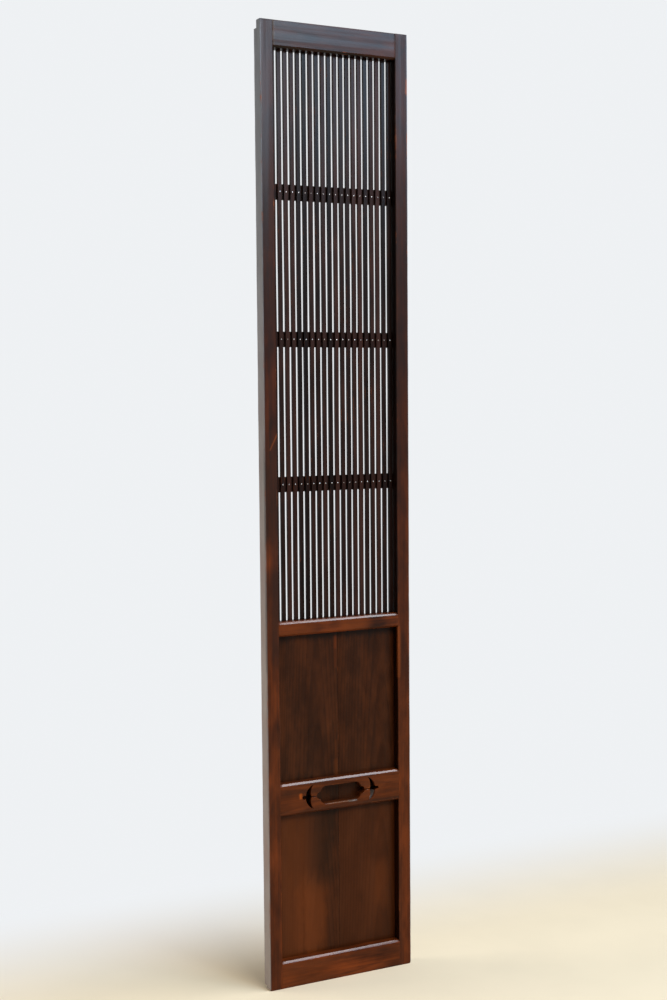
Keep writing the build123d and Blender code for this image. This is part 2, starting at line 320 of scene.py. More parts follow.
def left_of(direction):
    """Directions in a plane, turned a quarter to the left."""
    return np.stack([-direction[..., 1], direction[..., 0]], axis=-1)


def edge_directions(corners):
    """Unit directions into and out of each corner of a ring of sections, and the lengths of those edges."""
    enter = corners - np.roll(corners, 1, axis=1)
    length = np.linalg.norm(enter, axis=2)
    enter = enter / length[..., None]
    return enter, np.roll(enter, -1, axis=1), length, np.roll(length, -1, axis=1)


def shrunk(corners, distance):
    """Sections with every edge moved inwards: each corner moves by the distance times its mitre,
    the sum of the two inward normals over one plus their dot product."""
    enter, leave, _, _ = edge_directions(corners)
    first, second = left_of(enter), left_of(leave)
    mitre = (first + second) / (1 + (first * second).sum(axis=-1, keepdims=True))
    return corners + distance[:, None, None] * mitre


def rounded(corners, arris, fade):
    """Sections with every corner rubbed round, and how rubbed each point of a section is.

    A corner p with directions a into it and b out of it becomes the curve p - (1 - t)^2 r a + t^2 r b, for t
    from 0 to 1, where r is how far it is rubbed. A point on the flat stands before and after it, where wear
    has faded.
    """
    enter, leave, enter_length, leave_length = edge_directions(corners)
    t = np.linspace(0, 1, ARRIS_STEPS)
    r = np.minimum(arris, RUBBED_AT_MOST * np.minimum(enter_length, leave_length))[..., None]
    before = np.minimum(r + fade, FADED_AT_MOST * enter_length[..., None])
    after = np.minimum(r + fade, FADED_AT_MOST * leave_length[..., None])
    none = np.zeros_like(r)
    back = np.concatenate([before, r * (1 - t) ** 2, none], axis=2)
    forth = np.concatenate([none, r * t ** 2, after], axis=2)
    points = corners[:, :, None] - back[..., None] * enter[:, :, None]
    points = points + forth[..., None] * leave[:, :, None]
    worn = np.tile(np.concatenate([[0], np.ones(ARRIS_STEPS), [0]]), corners.shape[1])
    return points.reshape(len(corners), -1, 2), np.broadcast_to(worn, (len(corners), len(worn)))


def worn_sections(ring, along, inset, arris, fade, chance, **dents):
    """Sections along a piece whose corners all wear alike: one ring of corners, shrunk at the ends and rubbed
    round by an amount that wanders, and how rubbed each point is."""
    corners = np.broadcast_to(ring, (len(along),) + ring.shape)
    rubbed = rubbed_arris(along, [arris] * len(ring), chance, **dents)
    return rounded(shrunk(corners, inset), rubbed, fade)


def numbered(points, start=0):
    """Vertex numbers of rows of points."""
    rows, ring = points.shape[:2]
    return start + np.arange(rows * ring).reshape(rows, ring)


def ring_quads(number):
    """Faces between neighbouring rows of vertex numbers, where each row closes to a ring."""
    here, there = number[:-1], number[1:]
    return np.stack([here, np.roll(here, -1, axis=1), np.roll(there, -1, axis=1), there], axis=2)


def capped(number, quads):
    """Faces of a closed surface: quads between its sections and one flat cap at each end."""
    return quads.reshape(-1, 4).tolist() + [number[0, ::-1].tolist(), number[-1].tolist()]


def fan(tip, ring):
    """Triangles from one vertex number to a ring of them."""
    return np.stack([np.full_like(ring, tip), ring, np.roll(ring, -1)], axis=1)


def add_mesh(name, points, faces, material):
    """Puts a finished surface with one material into a new object."""
    mesh = bpy.data.meshes.new(name)
    mesh.from_pydata(points.reshape(-1, 3).tolist(), [], faces)
    mesh.validate()
    mesh.materials.append(material)
    piece = bpy.data.objects.new(name, mesh)
    bpy.context.scene.collection.objects.link(piece)
    return piece


def add_piece(name, points, faces, worn, lot, nodes, material, deep=0.0):
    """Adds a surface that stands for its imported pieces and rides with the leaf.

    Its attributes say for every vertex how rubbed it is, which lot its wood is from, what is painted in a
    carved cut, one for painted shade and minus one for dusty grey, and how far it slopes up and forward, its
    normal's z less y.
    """
    piece = add_mesh(name, points, faces, material)
    mesh = piece.data
    normals = np.empty(3 * len(mesh.vertices), np.float32)
    mesh.vertex_normals.foreach_get("vector", normals)
    slope = normals.reshape(-1, 3) @ UP_AND_FORWARD
    for label, values in zip(ATTRIBUTES, (worn, lot, deep, slope)):
        values = np.broadcast_to(np.asarray(values, np.float32).ravel(), (len(mesh.vertices),))
        attribute = mesh.attributes.new(label, "FLOAT", "POINT")
        attribute.data.foreach_set("value", np.ascontiguousarray(values))
    mesh.shade_smooth()
    mesh.set_sharp_from_angle(angle=SMOOTH_ANGLE)
    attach(piece, BODY)
    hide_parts(*nodes)


def dress(node, surface_of, seed, lot, material):
    """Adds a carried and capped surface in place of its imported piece."""
    surface, rubbed = surface_of(node, settings().shape, np.random.default_rng(seed))
    number = numbered(surface)
    faces = capped(number, ring_quads(number))
    add_piece("worn_" + node, surface, faces, rubbed, lot, [node], material)


def repeated(along, section):
    """The place along a piece, repeated for every point of its sections."""
    return np.broadcast_to(along[:, None, None], section.shape[:2] + (1,))


def upright(section, along):
    """A section of x and y, carried up z."""
    return np.concatenate([section, repeated(along, section)], axis=2)


def scribed(section, share):
    """A section of y and z, carried along x between the stiles.

    At each depth the end is at the opening's edge, plus what the stile's chamfer leaves open in front, and a
    point lies at its share of that reach.
    """
    ends = OPENING + np.maximum(0, STILE_CHAMFER - (section[..., 0] - FRONT))
    return np.concatenate([(share[:, None] * ends)[..., None], section], axis=2)


def box_ring(node, first, second):
    """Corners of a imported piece's box across two axes, in order round it."""
    low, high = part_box(node)
    return np.array([(low[first], low[second]), (high[first], low[second]),
                     (high[first], high[second]), (low[first], high[second])])


STILE_DENTS = 7


def stile_surface(node, shape, chance):
    """One stile: a chamfered rectangle carried up the leaf.

    Its back steps forward to the tongue above the upper ledge and to the foot below the lower one. The outer
    edge follows a quarter circle at the foot: at a height z below its radius r it is set in by
    r - sqrt(r^2 - (r - z)^2).
    """
    along, inset = stations(0, TOP, STILE_STEP, shape.joint_round)
    ledges = [FOOT_LEDGE - LEDGE_STEP, FOOT_LEDGE, TONGUE_LEDGE, TONGUE_LEDGE + LEDGE_STEP]
    full = np.sort(np.concatenate([along, ledges, FOOT_CORNER * FOOT_STATIONS]))
    inset = np.interp(full, along, inset)
    below = np.clip(FOOT_CORNER - full, 0, FOOT_CORNER)
    outer = OUTER - (FOOT_CORNER - np.sqrt(FOOT_CORNER ** 2 - below ** 2))
    back = np.where((full < FOOT_LEDGE) | (full > TONGUE_LEDGE), TONGUE_BACK, BACK)
    inner, front = np.full_like(full, OPENING), np.full_like(full, FRONT)
    corner_x = np.stack([inner + STILE_CHAMFER, outer, outer, inner, inner], axis=1)
    corner_y = np.stack([front, front, back, back, front + STILE_CHAMFER], axis=1)
    corners = np.stack([corner_x, corner_y], axis=2)
    sizes = (shape.arris, shape.outer_arris, shape.outer_arris, shape.arris, shape.arris)
    arris = rubbed_arris(full, sizes, chance, dents=STILE_DENTS)
    if STILES[node] < 0:
        corners = corners[:, ::-1] * np.array([-1, 1])
        arris = arris[:, ::-1]
    section, worn = rounded(shrunk(corners, inset), arris, shape.wear_fade)
    return upright(section, full), worn


def rail_corners(node):
    """Corners of a rail's section of y and z, with its chamfers and the ledge of the tongue or the foot."""
    low, high = reach(node, Z)
    back = reach(node, Y)[1]
    face_low, face_high = reach(node, Z, Y, FRONT)
    corners = []
    if low < FOOT_LEDGE:
        corners += [(FRONT, low), (TONGUE_BACK, low), (TONGUE_BACK, FOOT_LEDGE), (back, FOOT_LEDGE)]
    else:
        corners += [(FRONT + face_low - low, low), (back, low)]
    if high > TONGUE_LEDGE:
        corners += [(back, TONGUE_LEDGE), (TONGUE_BACK, TONGUE_LEDGE), (TONGUE_BACK, high), (FRONT, high)]
    else:
        corners += [(back, high), (FRONT + high - face_high, high), (FRONT, face_high)]
    if low >= FOOT_LEDGE:
        corners += [(FRONT, face_low)]
    return np.array(corners)


def rail_surface(node, shape, chance, fade=1.0):
    """One rail: its chamfered section carried from stile to stile, and scribed to the stiles' chamfers."""
    along, inset = stations(-OPENING, OPENING, RAIL_STEP, shape.joint_round)
    section, worn = worn_sections(
        rail_corners(node), along, inset, shape.arris, fade * shape.wear_fade, chance)
    return scribed(section, along / OPENING), worn


BOARD_POINTS = 9
LAP_DIGITS = 6
BOARD_DENTS = {"dents": 1, "dent": 0.0004}
BOARD_WAVES = ((38, 3), (61, -5), (0, 9))


def board_surface(node, shape, chance):
    """One panel board: a half-lapped section carried up the panel, out of flat by slow waves.

    A wave is the sine of so many radians to the metre across and along the board, from a chance phase.
    """
    front, back = reach(node, Y)
    face_left, face_right = reach(node, X, Y, front)
    rear_left, rear_right = reach(node, X, Y, back)
    levels = np.unique(np.round(packed_points(node)[:, Y], LAP_DIGITS))
    lap = levels[np.abs(levels - (front + back) / 2).argmin()]
    face = np.linspace((face_left, front), (face_right, front), BOARD_POINTS)
    rear = np.linspace((rear_right, back), (rear_left, back), BOARD_POINTS)
    right_step = [(face_right, lap), (rear_right, lap)] if face_right != rear_right else []
    left_step = [(rear_left, lap), (face_left, lap)] if face_left != rear_left else []
    ring = np.concatenate([run for run in (face, right_step, rear, left_step) if len(run)])
    along, inset = stations(*reach(node, Z), BOARD_STEP, shape.joint_round)
    section, worn = worn_sections(ring, along, inset, shape.arris, shape.wear_fade, chance, **BOARD_DENTS)

    on_flat = np.zeros(len(ring), bool)
    rear_start = BOARD_POINTS + len(right_step)
    on_flat[1:BOARD_POINTS - 1] = True
    on_flat[rear_start + 1:rear_start + BOARD_POINTS - 1] = True
    worn = worn * ~np.repeat(on_flat, PER_CORNER)

    surface = upright(section, along)
    phases = chance.uniform(0, 2 * np.pi, len(BOARD_WAVES))
    wave = sum(np.sin(across * surface[..., X] + up * surface[..., Z] + phase)
               for (across, up), phase in zip(BOARD_WAVES, phases))
    surface[..., Y] += shape.board_wave / 2 * wave
    return surface, worn


BAR_ARRIS, BAR_FADE = 0.5, 0.3
BAR_DENTS = {"dents": 2, "dent": 0.0003}
BAR_WAVES = (1.3, 0.62, 0.35)


def bar_surface(node, shape, chance):
    """One lattice bar: a rectangle with eased edges carried up, wandering sideways between its held ends.

    The wandering is times a half wave of the sine, which is nought at both ends.
    """
    low, high = (corner[Z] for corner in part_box(node))
    along, inset = stations(low, high, BAR_STEP, shape.joint_round)
    section, worn = worn_sections(box_ring(node, X, Y), along, inset, BAR_ARRIS * shape.arris,
                                  BAR_FADE * shape.wear_fade, chance, **BAR_DENTS)
    surface = upright(section, along)
    held = np.sin(np.pi * (along - low) / (high - low))
    surface[..., X] += shape.bar_bow * (held * wander(along, 1, BAR_WAVES, chance)[:, 0])[:, None]
    return surface, worn


TIE_DENTS = {"dents": 1, "dent": 0.0005}


def tie_surface(node, shape, chance):
    """One tie: a flat strip carried from stile to stile behind the bars."""
    along, inset = stations(-OPENING, OPENING, TIE_STEP, shape.joint_round)
    section, worn = worn_sections(box_ring(node, Y, Z), along, inset, shape.arris, shape.wear_fade, chance,
                                  **TIE_DENTS)
    return np.concatenate([repeated(along, section), section], axis=2), worn


NAIL_SIDES = 8
NAIL_RINGS = 3
NAIL_SIZES = (0.86, 1.0)
NAIL_OVAL = 0.12
NAIL_LEAN = 0.18
NAIL_DOME = 0.7
NAIL_RISE = 0.9


def nail_surface(node, chance):
    """All nail heads on one tie: flattened domes, each struck a little out of true.

    At an angle a from the crown and b round it, a head's radius is sin a and its height a power of cos a,
    both scaled to the head's size. The last ring lies on the bar and runs in to its middle, so each head is
    closed.
    """
    low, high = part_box(node)
    middle_x = np.array([(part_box(bar)[0][X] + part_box(bar)[1][X]) / 2 for bar in BARS])
    middle_z = (low[Z] + high[Z]) / 2
    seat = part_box(BARS[0])[0][Y]
    radius, height = (high[Z] - low[Z]) / 2, seat - low[Y]
    count = len(middle_x)
    a = np.linspace(0, np.pi / 2, NAIL_RINGS + 1)[1:, None]
    b = np.linspace(0, 2 * np.pi, NAIL_SIDES, endpoint=False)
    size = chance.uniform(*NAIL_SIZES, (count, 1, 1))
    oval = 1 - chance.uniform(0, NAIL_OVAL, (count, 1, 1))
    lean = chance.uniform(-NAIL_LEAN, NAIL_LEAN, (count, 2))[..., None, None]
    across = radius * size * np.sin(a) * np.cos(b)
    tall = radius * size * oval * np.sin(a) * np.sin(b)
    rise = height * np.cos(a) ** NAIL_DOME
    slope = (lean[:, 0] * across + lean[:, 1] * tall) * (rise / height)
    rise = np.clip(NAIL_RISE * rise + slope, 0, height)
    rings = np.stack([middle_x[:, None, None] + across, seat - rise, middle_z + tall], axis=3)
    heel = np.stack([middle_x, np.full(count, seat), np.full(count, middle_z)], axis=1)
    crown = heel - np.array([0, NAIL_RISE * height, 0])
    points = np.concatenate([crown[:, None], rings.reshape(count, -1, 3), heel[:, None]], axis=1)
    number = 1 + np.arange(NAIL_RINGS * NAIL_SIDES).reshape(NAIL_RINGS, NAIL_SIDES)
    caps = np.concatenate([fan(0, number[0]), fan(number.size + 1, number[-1])[:, ::-1]])
    belts = ring_quads(number)[..., TURNED_OVER].reshape(-1, 4)
    base = np.arange(count)[:, None, None] * points.shape[1]
    return points, (base + caps).reshape(-1, 3).tolist() + (base + belts).reshape(-1, 4).tolist()


# Carved rail

# How finely its outline and its face are worked out
OUTLINE_STEP = 0.0016
OUTLINE_DIGITS = 5
OWN_POINT = 20 * WELD
LEAST_GAP, LAST_GAP = 0.3, 0.2
FACE_STEP = 0.004
FACE_CLEAR = 0.4
SAME_POINT = 1e-8

# The runs of quads at its back and on its face, counted round its section
BACK_RUN, FRONT_RUN = 2 * PER_CORNER - 1, 5 * PER_CORNER - 1

# How its face and the rim of its openwork wear
CARVED_FADE = 0.3
RIM_DENTS = {"dents": 6, "dent": 0.0006}
RIM_AT_MOST = 0.0009
BLUNTEST_MITRE = 0.7
CHIP_ENDS = 4
CHIP_MEAN = 0.75
CHIP_SINES = ((0.35, 2100, 0), (0.2, 4700, 1))
POINT_TURN = 0.5
POINT_FADE = 0.004
POINT_KEPT = 0.12
# Past this x the backs of the cut walls get painted shade, or on the right below the middle a dusty grey.
BIRDS_FROM = 0.058
DUSTY_BELOW = 0.006


def face_borders(node, plane):
    """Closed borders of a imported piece's face on one plane of y, each as rows of x and z in order.

    An edge that only one triangle of the face has is on a border, and it leads to the border's next edge.
    """
    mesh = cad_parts[node].data
    mesh.calc_loop_triangles()
    triangles = np.empty(3 * len(mesh.loop_triangles), np.int32)
    mesh.loop_triangles.foreach_get("vertices", triangles)
    places, same = np.unique(np.round(packed_points(node) / WELD).astype(int), axis=0, return_inverse=True)
    triangles = same.ravel()[triangles.reshape(-1, 3)]
    points = places * WELD
    face = triangles[(np.abs(points[:, Y] - plane) < ON_PLANE)[triangles].all(axis=1)]
    edges = np.concatenate([face[:, [0, 1]], face[:, [1, 2]], face[:, [2, 0]]])
    size = len(points)
    alone = ~np.isin(edges[:, 0] * size + edges[:, 1], edges[:, 1] * size + edges[:, 0])
    following = dict(edges[alone].tolist())
    borders = []
    while following:
        start, place = following.popitem()
        border = [start]
        while place != start:
            border.append(place)
            place = following.pop(place)
        borders.append(points[border][:, [X, Z]])
    return borders


def evenly_stepped(loop, step):
    """A closed loop with points added on its long runs, its own points kept: places by length along it."""
    closed = np.concatenate([loop, loop[:1]])
    length = np.concatenate([[0], np.cumsum(np.linalg.norm(np.diff(closed, axis=0), axis=1))])
    places = np.concatenate([length[:-1], np.arange(0, length[-1], step)])
    places = np.unique(np.round(places, OUTLINE_DIGITS))
    near = np.searchsorted(length, places)
    gap = np.abs(places - length[np.clip(near, 0, len(length) - 1)])
    spare = np.minimum(gap, np.abs(places - length[np.clip(near - 1, 0, len(length) - 1)]))
    places = places[(gap < OWN_POINT) | (spare > LEAST_GAP * step)]
    places = places[places < length[-1] - LAST_GAP * step]
    return np.stack([np.interp(places, length, column) for column in closed.T], axis=1)


def inside(points, loop):
    """Whether points lie inside a closed loop: a line to the right from each crosses it an odd number of
    times."""
    start, end = loop, np.roll(loop, -1, axis=0)
    height = points[:, 1:2]
    crosses = (start[:, 1] > height) != (end[:, 1] > height)
    rise = np.where(end[:, 1] == start[:, 1], 1, end[:, 1] - start[:, 1])
    at = start[:, 0] + (height - start[:, 1]) / rise * (end[:, 0] - start[:, 0])
    return (crosses & (points[:, :1] < at)).sum(axis=1) % 2 == 1


def nearest(points, others):
    """Distance from each point to the nearest of the others."""
    return np.sqrt(((points[:, None] - others[None]) ** 2).sum(axis=2)).min(axis=1)


def filled(border, opening):
    """Triangles between a border and an opening, with a grid of points between them.

    Gives the grid's points, and triangles numbered over the border, the opening and the grid in that order.
    """
    low, high = border.min(axis=0), border.max(axis=0)
    counts = np.maximum(2, np.round((high - low) / FACE_STEP).astype(int))
    axes = [np.linspace(low[i], high[i], counts[i] + 1)[1:-1] for i in range(2)]
    grid = np.stack(np.meshgrid(*axes, indexing="ij"), axis=2).reshape(-1, 2)
    edge = np.concatenate([border, opening])
    clear = nearest(grid, edge) > FACE_CLEAR * FACE_STEP
    grid = grid[inside(grid, border) & ~inside(grid, opening) & clear]
    points = np.concatenate([edge, grid])
    loops = np.arange(len(border)), len(border) + np.arange(len(opening))
    runs = np.concatenate([np.stack([loop, np.roll(loop, -1)], axis=1) for loop in loops])
    result = delaunay_2d_cdt([Vector(point) for point in points], runs.tolist(), [], 0, SAME_POINT)
    own = np.array([ids[0] for ids in result[3]])
    triangles = own[np.array(result[2])]
    middles = points[triangles].mean(axis=1)
    return grid, triangles[inside(middles, border) & ~inside(middles, opening)]


def splintered(outline, middle, shape):
    """How far the lower edge of the window is broken away at each point of its outline.

    Along the chip the depth is one minus the fourth power of the distance from its middle in half lengths,
    times a raggedness of two sines.
    """
    x, z = outline.T
    from_middle = np.abs(x - shape.chip_middle) / (shape.chip_length / 2)
    ragged = CHIP_MEAN + sum(size * np.sin(rate * x + phase) for size, rate, phase in CHIP_SINES)
    chip = shape.chip_depth * np.clip(1 - from_middle ** CHIP_ENDS, 0, 1) * ragged * (z < middle)
    return np.clip(chip, 0, None)


def openwork_rim(node, shape, chance):
    """The rim of the openwork, how rubbed each of its points is, and what is painted at the back of its cuts:
    painted shade, or a dusty grey low on the right.

    The rim is a profile carried round the outline: a point lies r (1 - t)^2 into the wood and r t^2 back from
    the face, for t from 0 to 1, and then runs straight to the back. r wanders, swells where the edge is
    splintered, and shrinks near the sharp points of the wood.
    """
    back = reach(node, Y)[1]
    middle = sum(reach(node, Z)) / 2
    outline = evenly_stepped(min(face_borders(node, back), key=np.ptp)[::-1], OUTLINE_STEP)
    run = np.roll(outline, -1, axis=0) - outline
    run = run / np.linalg.norm(run, axis=1, keepdims=True)
    came = np.roll(run, 1, axis=0)
    after, before = left_of(run), left_of(came)
    mitre = (after + before) / np.maximum(1 + (after * before).sum(axis=1), BLUNTEST_MITRE)[:, None]

    length = np.cumsum(np.linalg.norm(outline - np.roll(outline, 1, axis=0), axis=1))
    r = rubbed_arris(length, [shape.arris], chance, **RIM_DENTS)[:, 0]
    r = np.minimum(r, RIM_AT_MOST) + splintered(outline, middle, shape)
    sharp = length[came[:, 0] * run[:, 1] - came[:, 1] * run[:, 0] > POINT_TURN]
    apart = np.abs(length[:, None] - sharp)
    apart = np.minimum(apart, length[-1] - apart).min(axis=1)
    r = (r * np.clip(apart / POINT_FADE, POINT_KEPT, 1))[:, None]

    t = np.linspace(0, 1, ARRIS_STEPS)
    into = np.concatenate([r * (1 - t) ** 2, np.zeros_like(r)], axis=1)
    depth = np.concatenate([r * t ** 2, np.full_like(r, back - FRONT)], axis=1)
    flat = outline[:, None] + into[..., None] * mitre[:, None]
    rim = np.stack([flat[..., 0], FRONT + depth, flat[..., 1]], axis=2)
    worn = np.ones(rim.shape[:2])
    worn[:, -1] = 0
    # Painted shade at the back of the birds' walls, and dusty grey low on the right bird.
    deep = np.zeros(rim.shape[:2])
    deep[:, -1] = np.abs(outline[:, 0]) > BIRDS_FROM
    deep[(outline[:, 0] > BIRDS_FROM) & (outline[:, 1] < middle - DUSTY_BELOW), -1] = -1
    return rim, worn, deep


def carved_rail_surface(node, shape, chance):
    """The carved rail: its section carried between the stiles, with its face and back cut by the openwork.

    The runs of quads between the chamfers on the face and between the corners at the back are left out, and
    each is filled with triangles round the rim. Wear fades from the rim over the face by a bell curve.
    """
    body, worn = rail_surface(node, shape, chance, CARVED_FADE)
    rim, rim_worn, rim_painted_cut_shade_and_dust = openwork_rim(node, shape, chance)
    number = numbered(body)
    rim_number = numbered(rim, number.size)
    faces = capped(number, np.delete(ring_quads(number), [BACK_RUN, FRONT_RUN], axis=1))
    faces += ring_quads(rim_number.T)[..., TURNED_OVER].reshape(-1, 4).tolist()
    points = [body.reshape(-1, 3), rim.reshape(-1, 3)]
    wear = [worn.ravel(), rim_worn.ravel()]
    deep = [np.zeros(worn.size), rim_painted_cut_shade_and_dust.ravel()]
    start = number.size + rim_number.size
    back = reach(node, Y)[1]
    for run, column, depth, turned in ((FRONT_RUN, 0, FRONT, False), (BACK_RUN, -1, back, True)):
        upper, lower = (run + 1, run) if turned else (run, run + 1)
        border_ids = np.concatenate([number[:, lower], number[::-1, upper]])
        border = np.concatenate([body[:, lower], body[::-1, upper]])[:, [X, Z]]
        opening = rim[:, column][:, [X, Z]]
        grid, triangles = filled(border, opening)
        ids = np.concatenate([border_ids, rim_number[:, column], start + np.arange(len(grid))])
        triangles = ids[triangles]
        faces += (triangles[:, ::-1] if turned else triangles).tolist()
        points.append(np.stack([grid[:, 0], np.full(len(grid), depth), grid[:, 1]], axis=1))
        wear.append(np.exp(-(nearest(grid, opening) / shape.wear_fade) ** 2))
        deep.append(np.zeros(len(grid)))
        start += len(grid)
    return np.concatenate(points), faces, np.concatenate(wear), np.concatenate(deep)


# Finishes

# Patterns of chance: features to the metre along each axis, detail and roughness
WOBBLE = ((11, 11, 1.1), 2.0, 0.55)
STREAK = ((85, 85, 1.5), 4.0, 0.62)
FIBRE = ((420, 420, 8), 3.0, 0.60)
CLOUD = ((24, 24, 9), 3.0, 0.60)
RAGGED = ((38, 38, 38), 4.0, 0.65)
PATCH = ((7, 7, 7), 2.0, 0.55)
RUST = ((650, 650, 650), 3.0, 0.55)
HAMMERED = ((1400, 1400, 1400), 2.0, 0.55)
MOTTLE = ((5, 5, 5), 3.0, 0.55)

# Grain and tone: stops are a place on the ramp and a brightness
LOT_SHIFT = (3.7, 2.3, 19.0)
RING_WOBBLE = 0.030
PITH_LEAN = 0.035
LATE_WOOD = ((0.0, 0.0), (0.5, 0.25), (0.86, 1.0), (1.0, 0.0))
LATE_MEAN = 0.4
STREAK_SHARE = 0.40
TONE_SPREAD, FIBRE_SPREAD = 3.2, 0.5
STAIN_STOPS = ((0.0, 0.22), (0.45, 0.82), (1.0, 2.1))

# Wear: how far patterns move its edge, and how bare the wood gets
RAGGED_WEAR, PATCHY_WEAR = 2.2, 1.8
WEAR_EDGE = (1.05, 1.75)
BARE = 0.75

# Painted shade towards the top, on the stiles' inner faces and at the back of the cuts, painted sheen on the
# stiles' outer sides, and dusty grey in the cuts: ranges of a value and, after them, what they turn into
PAINTED_SHADE_RISE = (0.40, 1.65)
PAINTED_SHEEN_RISE = (0.6, 1.9)
PAINTED_SHEEN_CLOUDS = (0.30, 0.70, 0.85, 0.65)
PAINTED_SHEEN_EDGE = (OUTER - 0.0025, OUTER - 0.0002)
PAINTED_RECESS_SHADE_EDGE = (OPENING + 0.0002, OPENING + 0.0010)
PAINTED_CUT_SHADE = (0.02, 0.45, 0.0, 0.9)
CUT_DUST = (-0.35, -0.02, 0.8, 0.0)
CUT_SHADE = 0.05

# Wax, polish and relief, with ranges as above
WAX_RISE = (0.3, 1.5, 0.65, 1.0)
WAX_STREAKS, WAX_MOST, WAX_LEAST = (0.35, 0.65), 1.4, 0.65
POLISH_EDGE = (1.15, 1.38)
ROUGH_STREAKS = (0.3, 0.7, 0.34, 0.50)
WORN_ROUGH = 0.08
COAT_ROUGH = 0.22
GRAIN_RELIEF = {"fibre": 0.5, "streak": 0.6, "late": 0.2}
GRAIN_BUMP, GRAIN_HEIGHT = 0.45, 0.0006

# Marks: how far behind the face they end, and parts of a mark's width by which the patterns move its edge
# and between which it fades
FACE_DEPTH = (0.003, 0.008)
MARK_STREAKS, MARK_CLOUDS = 0.8, 2.4
MARK_CORE, MARK_REACH = 0.05, 1.15
LEAST_SQUARE = 1e-9
# Some paints stand for light: painted shadows under the rails, whose paint also makes a dark smudge on the
# right stile, and painted shade behind the openwork.
PAINTS = {
    "spilt": (0.016, 0.006, 0.003),
    "gathered": (0.006, 0.003, 0.002),
    "clouded": (0.010, 0.006, 0.003),
    "knot": (0.012, 0.006, 0.004),
    "behind birds": (0.003, 0.002, 0.001),
    "behind window": (0.004, 0.002, 0.001),
    "thin": (0.170, 0.036, 0.005),
    "joint": (0.190, 0.034, 0.006),
    "bare": (0.300, 0.060, 0.006),
    "split": (0.200, 0.090, 0.045),
    "splinter": (0.100, 0.072, 0.055),
}

# For each piece: x and z of a line's two ends, its width, its paint and how strong it is
MARKS = {
    "left_stile": (
        (-0.156, 1.135, -0.140, 1.167, 0.0026, "worn", 0.55),
        # Darker patches on the stile.
        (-0.155, 0.720, -0.155, 1.120, 0.060, "spilt", 0.55),
        (-0.155, 0.440, -0.155, 0.600, 0.080, "spilt", 0.18),
    ),
    "right_stile": (
        (0.142, 1.946, 0.165, 1.972, 0.004, "gathered", 0.5),
        (0.168, 1.880, 0.168, 1.905, 0.006, "worn", 0.6),
        (0.141, 0.640, 0.141, 0.745, 0.006, "worn", 0.5),
        # A darker patch on the stile.
        (0.155, 0.440, 0.155, 0.600, 0.080, "spilt", 0.25),
    ),
    "top_rail": (
        (-0.080, 1.978, -0.080, 1.978, 0.010, "knot", 0.7),
    ),
    "mid_rail": (
        (-0.128, 0.764, -0.075, 0.766, 0.030, "thin", 0.34),
        (0.015, 0.760, 0.050, 0.760, 0.024, "thin", 0.35),
    ),
    "carved_rail": (
        (-0.0945, 0.402, -0.0945, 0.408, 0.0048, "bare", 0.9),
        (-0.030, 0.3822, 0.020, 0.3822, 0.0022, "split", 0.55),
        (0.020, 0.3815, 0.038, 0.3815, 0.0030, "splinter", 0.8),
    ),
    "bottom_rail": (
        (-0.130, 0.030, -0.060, 0.034, 0.050, "worn", 0.20),
    ),
    "left_panel_board": (
        # Painted shadows on the panel under the mid rail and the carved rail.
        (-0.130, 0.741, 0.000, 0.741, 0.014, "gathered", 0.75),
        (-0.130, 0.362, 0.000, 0.362, 0.012, "gathered", 0.60),
        # Painted shade on the panel behind the birds and the window.
        (-0.078, 0.380, -0.078, 0.424, 0.030, "behind birds", 0.9),
        (-0.045, 0.402, 0.000, 0.402, 0.030, "behind window", 0.45),
        (-0.110, 0.070, -0.115, 0.330, 0.085, "worn", 0.24),
        (-0.060, 0.080, -0.050, 0.190, 0.050, "worn", 0.26),
        (-0.030, 0.220, -0.030, 0.330, 0.040, "clouded", 0.35),
        (-0.001, 0.440, -0.001, 0.465, 0.007, "worn", 0.12),
        (-0.001, 0.440, -0.001, 0.510, 0.005, "worn", 0.08),
        (-0.001, 0.670, -0.001, 0.735, 0.004, "joint", 0.14),
        (-0.001, 0.712, -0.001, 0.735, 0.005, "joint", 0.28),
    ),
    "right_panel_board": (
        # Painted shadows on the panel under the mid rail and the carved rail.
        (0.000, 0.741, 0.140, 0.741, 0.014, "gathered", 0.75),
        (0.000, 0.362, 0.140, 0.362, 0.012, "gathered", 0.60),
        # Painted shade on the panel behind the birds and the window.
        (0.078, 0.380, 0.078, 0.424, 0.030, "behind birds", 0.9),
        (0.000, 0.402, 0.045, 0.402, 0.030, "behind window", 0.45),
        (0.100, 0.150, 0.102, 0.210, 0.030, "worn", 0.15),
        (0.080, 0.060, 0.080, 0.330, 0.150, "worn", 0.10),
    ),
}


class Wire:
    """What comes out of a shader node. Sums on it are written as formulas, and each of them adds a node."""

    def __init__(self, recipe, socket):
        self.recipe, self.socket = recipe, socket

    def math(self, operation, other=0.0):
        """One sum with a number, a vector or another wire."""
        on_vectors = self.socket.type == "VECTOR" or isinstance(other, tuple)
        kind = "ShaderNodeVectorMath" if on_vectors else "ShaderNodeMath"
        return self.recipe.add(kind, {0: self, 1: other}, operation=operation)

    def __add__(self, other):
        return self.math("ADD", other)

    def __sub__(self, other):
        return self.math("SUBTRACT", other)

    def __mul__(self, other):
        return self.math("MULTIPLY", other)

    def length(self):
        """Length of a vector."""
        return self.recipe.add("ShaderNodeVectorMath", {0: self}, "Value", operation="LENGTH")


